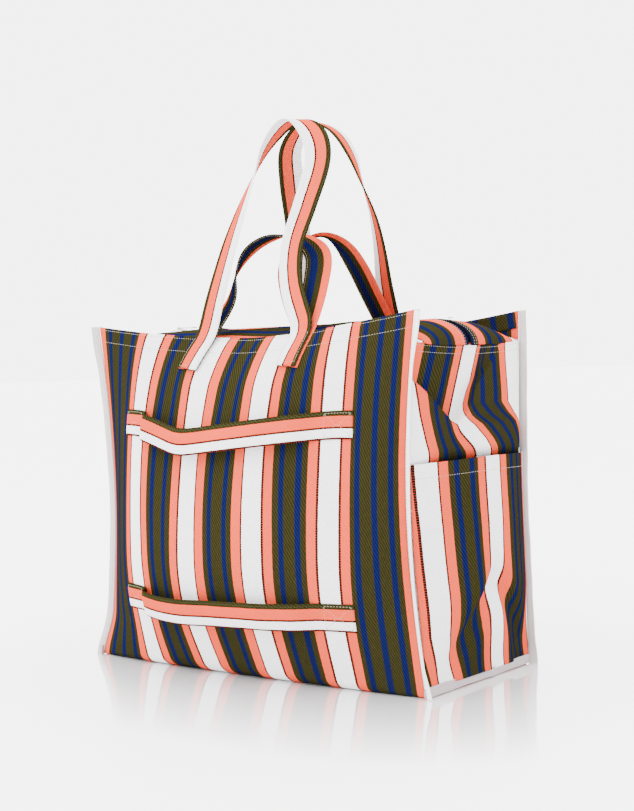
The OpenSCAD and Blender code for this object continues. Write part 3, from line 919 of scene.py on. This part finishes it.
# Middle of each loop from the left seam to the right one, from the line that the loop turns on.
ROUTES = {
    "front_long": [(-63, 0, .6), (-59, 13, 46), (-51, 34.4, 110.8), (-36, 53.4, 171.8),
                   (-22.4, 67.6, 214), (8, 75.9, 241), (41, 70, 226), (60, 58.1, 190.5),
                   (51, 43.9, 139.7), (40, 30.8, 92), (49, 16.6, 47.6), (77, 0, .6)],
    "back_long": [(-76, 0, .6), (-69.8, 13, 47.9), (-52.4, 28.5, 94.6), (-43.1, 42.7, 135.1),
                  (-38.8, 55.7, 180), (-28.7, 67.6, 217), (5.8, 75.9, 241), (41, 71.2, 229),
                  (56.9, 60.5, 200), (62, 49.8, 166.9), (67.5, 36.8, 128.5), (66, 23.7, 89),
                  (62, 11.9, 48.3), (62, 0, .6)],
    "front_short": [(-63, 2.7, -.4), (-56.4, 30.8, 32.2), (-60.4, 49.8, 68.8),
                    (-45.7, 60.5, 95.2), (-12.5, 65.2, 108.3), (24, 64.1, 104),
                    (58, 54.6, 82.5), (70, 33.2, 45.8), (79, 2.7, -.4)],
    "back_short": [(-72, 2.7, -.4), (-62.3, 30.8, 37.4), (-48.3, 52.2, 75.8), (-25.4, 62.9, 102),
                   (10.5, 65.2, 109.8), (37.8, 59.3, 95.6), (50.7, 47.4, 69.3),
                   (54.2, 28.5, 38.9), (58, 2.7, -.4)],
}
SEWN_X = {"front_long": (-64, 77), "front_short": (-65, 79), "back_long": (-76, 62),
          "back_short": (-76, 62)}
SEWN, SEWN_SLANT = 37, 0.17
# How far a sewn end stands off the panel, and the heights that a loop bends between.
LONG_LIFT, SHORT_LIFT = 3.3, 1.2
BEND_FROM, BEND_TO = 0.3835, 0.3925
# How the strap's width turns about Z along a loop: shares of the loop, and degrees.
TURN_AT = {
    "front_long": [0, .06, .17, .26, .32, .39, .47, .53, .65, .85, 1],
    "front_short": [0, .06, .2, .27, .35, .48, .6, .72, .85, .95, 1],
    "back_long": [0, .1, .25, .38, .46, .62, .71, .79, .87, .95, 1],
    "back_short": [0, .15, .3, .4, .47, .6, .7, .78, .85, .95, 1],
}
TURN = {
    "front_long": [0, 0, 12, 34, 58, 86, 112, 140, 158, 178, 180],
    "front_short": [0, 5, 40, 58, 82, 105, 132, 145, 155, 172, 180],
    "back_long": [0, 8, 35, 68, 84, 98, 128, 146, 158, 174, 180],
    "back_short": [0, 20, 70, 110, 130, 165, 182, 186, 186, 182, 180],
}


def smoothed(line, rounds):
    """Each point moved towards its neighbours, the given number of times."""
    for _ in range(rounds):
        inner = (line[:-2] + 2 * line[1:-1] + line[2:]) / 4
        line = np.concatenate([line[:1], inner, line[-1:]])
    return line


def handle(name, side, long_one):
    """Sewn end, free loop and sewn end as one strap, in the frame of the front side."""
    lift = LONG_LIFT if long_one else SHORT_LIFT
    depth = np.linspace(SEWN, 5, 12)

    def patch(x):
        x = x - SEWN_SLANT * (depth - 5)
        line, out = front_at(x, rim_at(x) - depth, lift)
        return line, -out

    left, left_in = patch(SEWN_X[name][0])
    right, right_in = patch(SEWN_X[name][1])
    f = np.linspace(0.012, 0.988, 150)
    loop = along(ROUTES[name], f)
    loop = np.stack([loop[:, 0], loop[:, 1] - HINGE_Y, loop[:, 2] + HINGE_Z], 1)
    turn = np.radians(np.interp(f, TURN_AT[name], TURN[name]))
    flat = point(np.cos(turn), -np.sin(turn), 0)
    line = np.concatenate([left, loop, right[::-1]])
    ahead = unit(np.gradient(line, axis=0))
    wide = np.concatenate([np.cross(left_in, ahead[:len(left)]), flat,
                           np.cross(right_in[::-1], ahead[-len(right):])])
    run = lengths(line)
    even = np.linspace(0, run[-1], int(run[-1] / 3.2))
    line, wide = resampled(line, run, even), resampled(wide, run, even)
    line, wide = smoothed(line, 6), smoothed(unit(wide), 40)
    mirror = SIDES[side]
    material = LONG_WEB if long_one else SHORT_WEB
    line, wide = line * mirror, wide * mirror
    strap, wide, up = ribbon(f"{name}_strap", line, wide, material)
    hinge = (-1 if side == "front" else 1) * HINGE_Y * MM
    ends = dict(start=(0, hinge, BEND_FROM), end=(0, hinge, BEND_TO))
    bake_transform(strap, "bag", name, **ends)
    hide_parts(f"{name}_handle", f"{name}_handle_ends")
    sewn = Threads(f"{name}_stitches", GREEN_THREAD if long_one else THREAD)
    edge = -12.9 if long_one else 12.9
    for face in (-1, 1):
        sewn.sew(line + wide * edge + up * 0.93 * face, up * face, pitch=3.2, length=2.0)
    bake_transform(sewn.make(body=None), "bag", name, **ends)
    if long_one:
        box = Threads(f"{name}_box_stitches", THREAD)
        low = SEWN - 3
        for x in SEWN_X[name]:
            rim = float(rim_at(x))
            corners = [(-12.5, 3), (12.5, 3), (12.5, low), (-12.5, low), (-12.5, 3)]
            for (x0, d0), (x1, d1) in zip(corners[:-1], corners[1:]):
                xs, ds = np.linspace(x0, x1, 12) + x, np.linspace(d0, d1, 12)
                seam = front_at(xs - SEWN_SLANT * (ds - 5), rim - ds, lift + 0.93)
                box.sew(*seam, mirror=mirror)
        box.make()


for side in SIDES:
    handle(f"{side}_long", side, True)
    handle(f"{side}_short", side, False)


def front_strap(name, z_left, z_right, sag, low_at):
    """A strap across the front: sewn at both ends, loose and slightly low in between."""
    f = np.linspace(0, 1, 150)
    x = mix(-FRONT_STRAP_X, FRONT_STRAP_X, f)
    sewn = FRONT_STRAP_SEWN / (2 * FRONT_STRAP_X)
    held = sewn * 0.6
    free = smooth((f - sewn) / 0.035) * smooth((1 - sewn - f) / 0.10)
    falling = np.sin(np.pi / 2 * np.clip((f - held) / (low_at - held), 0, 1)) ** 2
    rising = np.clip((1 - held - f) / (1 - low_at - held), 0, 1) ** 1.1
    drop = np.where(f < low_at, falling, rising)
    soft = np.hanning(25)[1:-1]
    drop = np.convolve(np.pad(drop, 11, mode="edge"), soft / soft.sum(), "valid")
    z = mix(z_left, z_right, f) - sag * drop
    q = np.linspace(1, -1, STRAP_COLS)
    width = q * STRAP_W / 2
    height = z[:, None] + width[None]
    base, _ = front_at(x[:, None] + 0 * height, height)
    sway = np.sin(f * 21) + 0.7 * np.sin(f * 37 + 1)
    curl = 1 - 0.12 * q ** 2
    off = 0.9 + free[:, None] * (14.5 + sway[:, None]) * curl[None]
    centre = base - off[..., None] * [0, 1, 0]
    out = facing(centre.transpose(1, 0, 2)).transpose(1, 0, 2)
    out = np.where(out[..., 1:2] > 0, -out, out)
    rise = out * (0.9 * strap_edge(q))[None, :, None]
    uv = cloth_uv((STRAP_W / 2 - width)[None], lengths(centre[:, 6])[:, None])
    front = centre + rise
    strap = skin(f"{name}_webbing", front, centre - rise, uv, FRONT_WEB)
    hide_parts(name)
    dots = Threads(f"{name}_edge_stitches", GREEN_THREAD)
    dots.sew(front[:, 1] * 0.8 + front[:, 2] * 0.2, out[:, 1], pitch=3.2, length=2.0)
    dots.make()
    # A crossed box at each sewn end, between rows of the strap's grid.
    box = Threads(f"{name}_box_stitches", THREAD)
    for first, last in ((1, 15), (134, 148)):
        corners = [(first, 1), (first, 11), (last, 11), (last, 1),
                   (first, 1), (last, 11), (last, 1), (first, 11)]
        for start, stop in zip(corners[:-1], corners[1:]):
            row, col = np.round(np.linspace(start, stop, 14)).astype(int).T
            box.sew(front[row, col], out[row, col])
    box.make()


front_strap("upper_front_strap", 286, 283, 20, 0.36)
front_strap("lower_front_strap", 84, 81, 7, 0.26)


# ------------------------------------------------------ parts kept from CAD

def coat(name, material):
    """Give a part that is shown as CAD made it its material."""
    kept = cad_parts[name]
    for slot in kept.material_slots:
        slot.material = material
    if not kept.material_slots:
        kept.data.materials.append(material)


for name in ("zip_slider", "zip_pull", "zip_stops"):
    coat(name, METAL)
coat("base_seam_tape", TAPE)


# ------------------------------------------------------------- the studio

# The floor shines under the bag, and fades to matt at POLISH_FADE (a squared distance).
POLISHED_X, POLISHED_Y, POLISH_FADE, POLISH = 0.22, 0.10, 0.07, 0.68
FLOOR_SHADE, FLOOR_HALF, FLOOR_Z = 0.855, 30000, -0.3
# Name, place, power and size of each lamp.
LAMPS = (("key", (-1.9, -2.6, 2.4), 45, 1.6), ("top", (0.1, 0.3, 2.8), 12, 2.2))
LAMPS_AIM = (0, 0, 0.25)


def studio_floor():
    material, tree, shader = new_material("studio_floor", 0.5, specular=0.5)
    place = node(tree, "TexCoord").outputs["Object"]
    mottle = noise(tree, place, 3.0, 2.0)
    shade = math_node(tree, "MULTIPLY_ADD", mottle, 0.01, FLOOR_SHADE)
    tree.links.new(shade, shader.inputs["Base Color"])
    split = node(tree, "SeparateXYZ", Vector=place)
    squares = []
    for axis, half in (("X", POLISHED_X), ("Y", POLISHED_Y)):
        out = math_node(tree, "SUBTRACT", math_node(tree, "ABSOLUTE", split.outputs[axis]), half)
        out = math_node(tree, "MAXIMUM", out, 0.0)
        squares.append(math_node(tree, "MULTIPLY", out, out))
    away = math_node(tree, "ADD", *squares)
    gloss = node(tree, "BsdfAnisotropic", Roughness=0.07, Color=(0.98, 0.98, 0.985))
    both = node(tree, "MixShader", Fac=map_range(tree, away, (0.0, POLISH_FADE), (POLISH, 0.0)))
    tree.links.new(shader.outputs[0], both.inputs[1])
    tree.links.new(gloss.outputs[0], both.inputs[2])
    tree.links.new(both.outputs[0], tree.nodes["Material Output"].inputs["Surface"])
    corners = ((-1, -1), (1, -1), (1, 1), (-1, 1))
    verts = np.array([(x * FLOOR_HALF, y * FLOOR_HALF, FLOOR_Z) for x, y in corners])
    piece("studio_floor", verts, [[0, 1, 2, 3]], material, body=None)


def studio_world():
    """A white surround, brightest towards -X and overhead."""
    world = bpy.data.worlds.new("studio")
    world.use_nodes = True
    sky = world.node_tree
    split = node(sky, "SeparateXYZ", Vector=node(sky, "TexCoord").outputs["Generated"])
    aside = map_range(sky, split.outputs["X"], (-0.36, 1.0), (5.7, 2.6), "SMOOTHSTEP")
    overhead = map_range(sky, split.outputs["Z"], (0.3, 0.9), (0.0, 4.2), "SMOOTHSTEP")
    background = sky.nodes["Background"]
    fill(sky, background.inputs["Strength"], math_node(sky, "ADD", aside, overhead))
    fill(sky, background.inputs["Color"], (1.0, 1.0, 1.0))
    bpy.context.scene.world = world


def studio_lamps():
    for name, at, power, size in LAMPS:
        lamp = bpy.data.lights.new(name, "AREA")
        lamp.energy, lamp.size = power, size
        obj = bpy.data.objects.new(name, lamp)
        obj.location = at
        aim = Vector(LAMPS_AIM) - Vector(at)
        obj.rotation_euler = aim.to_track_quat("-Z", "Y").to_euler()
        bpy.context.scene.collection.objects.link(obj)


studio_floor()
studio_world()
studio_lamps()
